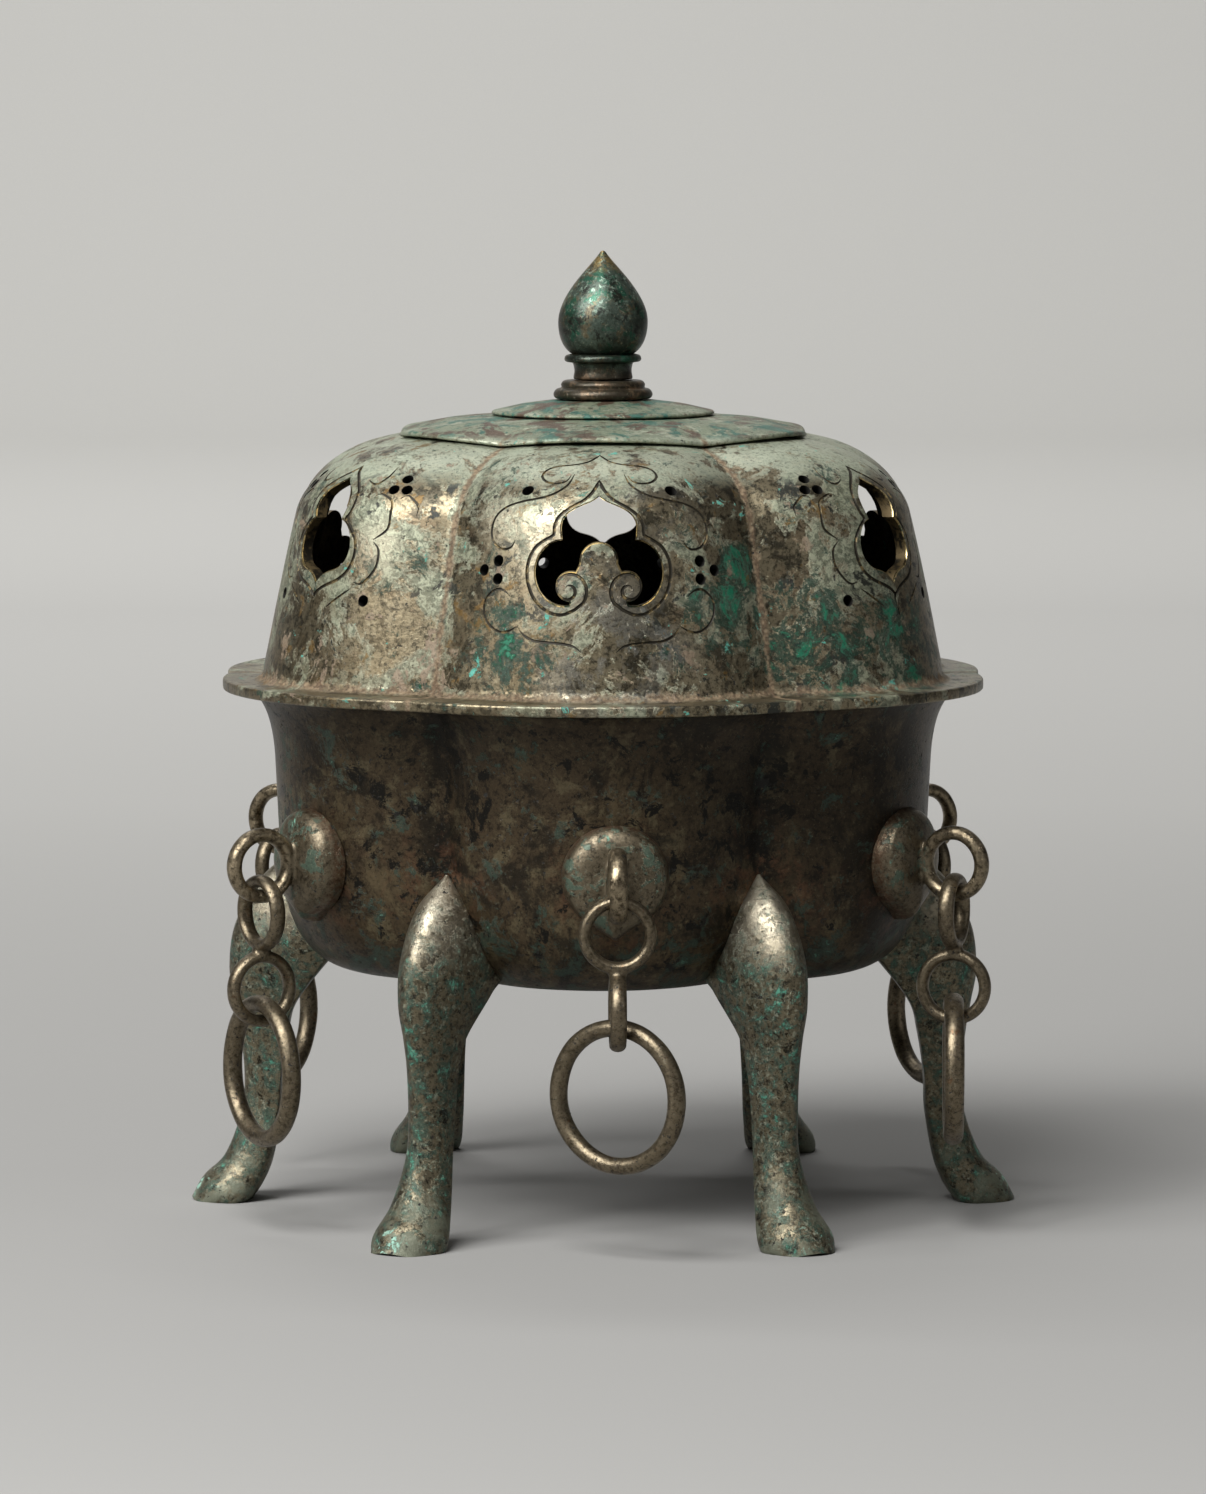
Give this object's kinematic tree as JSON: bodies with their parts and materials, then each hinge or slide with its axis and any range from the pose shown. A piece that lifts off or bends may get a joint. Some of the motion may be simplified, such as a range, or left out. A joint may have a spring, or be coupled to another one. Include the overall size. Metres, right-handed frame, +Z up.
{
  "type": "lidded incense burner",
  "caption": "Lobed bronze incense burner: deep bowl on cabriole legs, pierced domed lid with a bud finial, and short chains with loose rings hung from bosses round the bowl.",
  "frame": {"origin": "on the floor that the feet stand on, on the vessel's vertical axis", "axes": "+Z up; -Y towards the front of the vessel, the lobe that faces the viewer; +X to the viewer's right"},
  "size_m": [0.214, 0.2268, 0.2463],
  "materials": {
    "dark_bronze": "dark brown patinated bronze with green specks",
    "verdigris_bronze": "matt grey-green verdigris with tan earth",
    "green_bronze": "glossy dark green patina",
    "leg_bronze": "mottled dark green and brown patina, worn knees",
    "worn_bronze": "worn golden-brown bronze with dark pits"
  },
  "bodies": {
    "vessel": {"bowl": "dark_bronze", "leg_1": "leg_bronze", "leg_2": "leg_bronze", "leg_3": "leg_bronze", "leg_4": "leg_bronze", "leg_5": "leg_bronze", "leg_6": "leg_bronze", "boss_eye_1": "dark_bronze", "boss_eye_2": "dark_bronze", "boss_eye_3": "dark_bronze", "boss_eye_4": "dark_bronze", "boss_eye_5": "dark_bronze", "boss_eye_6": "dark_bronze"},
    "lid": {"lid_dome": "verdigris_bronze", "crown_plate": "verdigris_bronze", "crown_tier": "verdigris_bronze", "finial_base": "green_bronze", "finial": "green_bronze", "finial_rove": "worn_bronze"},
    "link_1_body": {"link_1": "worn_bronze"},
    "ring_1_body": {"ring_1": "worn_bronze"},
    "link_2_body": {"link_2": "worn_bronze"},
    "ring_2_body": {"ring_2": "worn_bronze"},
    "link_3_body": {"link_3": "worn_bronze"},
    "ring_3_body": {"ring_3": "worn_bronze"},
    "link_5_body": {"link_5": "worn_bronze"},
    "ring_5_body": {"ring_5": "worn_bronze"},
    "link_6_body": {"link_6": "worn_bronze"},
    "ring_6_body": {"ring_6": "worn_bronze"}
  },
  "joints": [
    {"name": "lid_lift", "type": "slide", "parent": "vessel", "child": "lid", "axis": [0, 0, 1], "range_m": [0, 0.12]},
    {"name": "link_1_swing", "type": "hinge", "parent": "vessel", "child": "link_1_body", "pos_m": [0.00359, -0.10283, 0.08955], "axis": [-0.9994, -0.0349, 0], "range_deg": [-10, 60]},
    {"name": "ring_1_swing", "type": "hinge", "parent": "link_1_body", "child": "ring_1_body", "pos_m": [0.00359, -0.10283, 0.05405], "axis": [0.0349, -0.9994, 0], "range_deg": [-40, 40]},
    {"name": "link_2_swing", "type": "hinge", "parent": "vessel", "child": "link_2_body", "pos_m": [0.08857, -0.05238, 0.08955], "axis": [-0.509, -0.8607, 0], "range_deg": [-10, 60]},
    {"name": "ring_2_swing", "type": "hinge", "parent": "link_2_body", "child": "ring_2_body", "pos_m": [0.08857, -0.05238, 0.05405], "axis": [0.8607, -0.509, 0], "range_deg": [-40, 40]},
    {"name": "link_3_swing", "type": "hinge", "parent": "vessel", "child": "link_3_body", "pos_m": [0.08629, 0.05604, 0.08955], "axis": [0.5446, -0.8387, 0], "range_deg": [-10, 60]},
    {"name": "ring_3_swing", "type": "hinge", "parent": "link_3_body", "child": "ring_3_body", "pos_m": [0.08629, 0.05604, 0.05405], "axis": [0.8387, 0.5446, 0], "range_deg": [-40, 40]},
    {"name": "link_5_swing", "type": "hinge", "parent": "vessel", "child": "link_5_body", "pos_m": [-0.08629, 0.05604, 0.08955], "axis": [0.5446, 0.8387, 0], "range_deg": [-10, 60]},
    {"name": "ring_5_swing", "type": "hinge", "parent": "link_5_body", "child": "ring_5_body", "pos_m": [-0.08629, 0.05604, 0.05405], "axis": [-0.8387, 0.5446, 0], "range_deg": [-40, 40]},
    {"name": "link_6_swing", "type": "hinge", "parent": "vessel", "child": "link_6_body", "pos_m": [-0.086, -0.05649, 0.08955], "axis": [-0.549, 0.8358, 0], "range_deg": [-10, 60]},
    {"name": "ring_6_swing", "type": "hinge", "parent": "link_6_body", "child": "ring_6_body", "pos_m": [-0.086, -0.05649, 0.05405], "axis": [-0.8358, -0.549, 0], "range_deg": [-40, 40]}
  ]
}
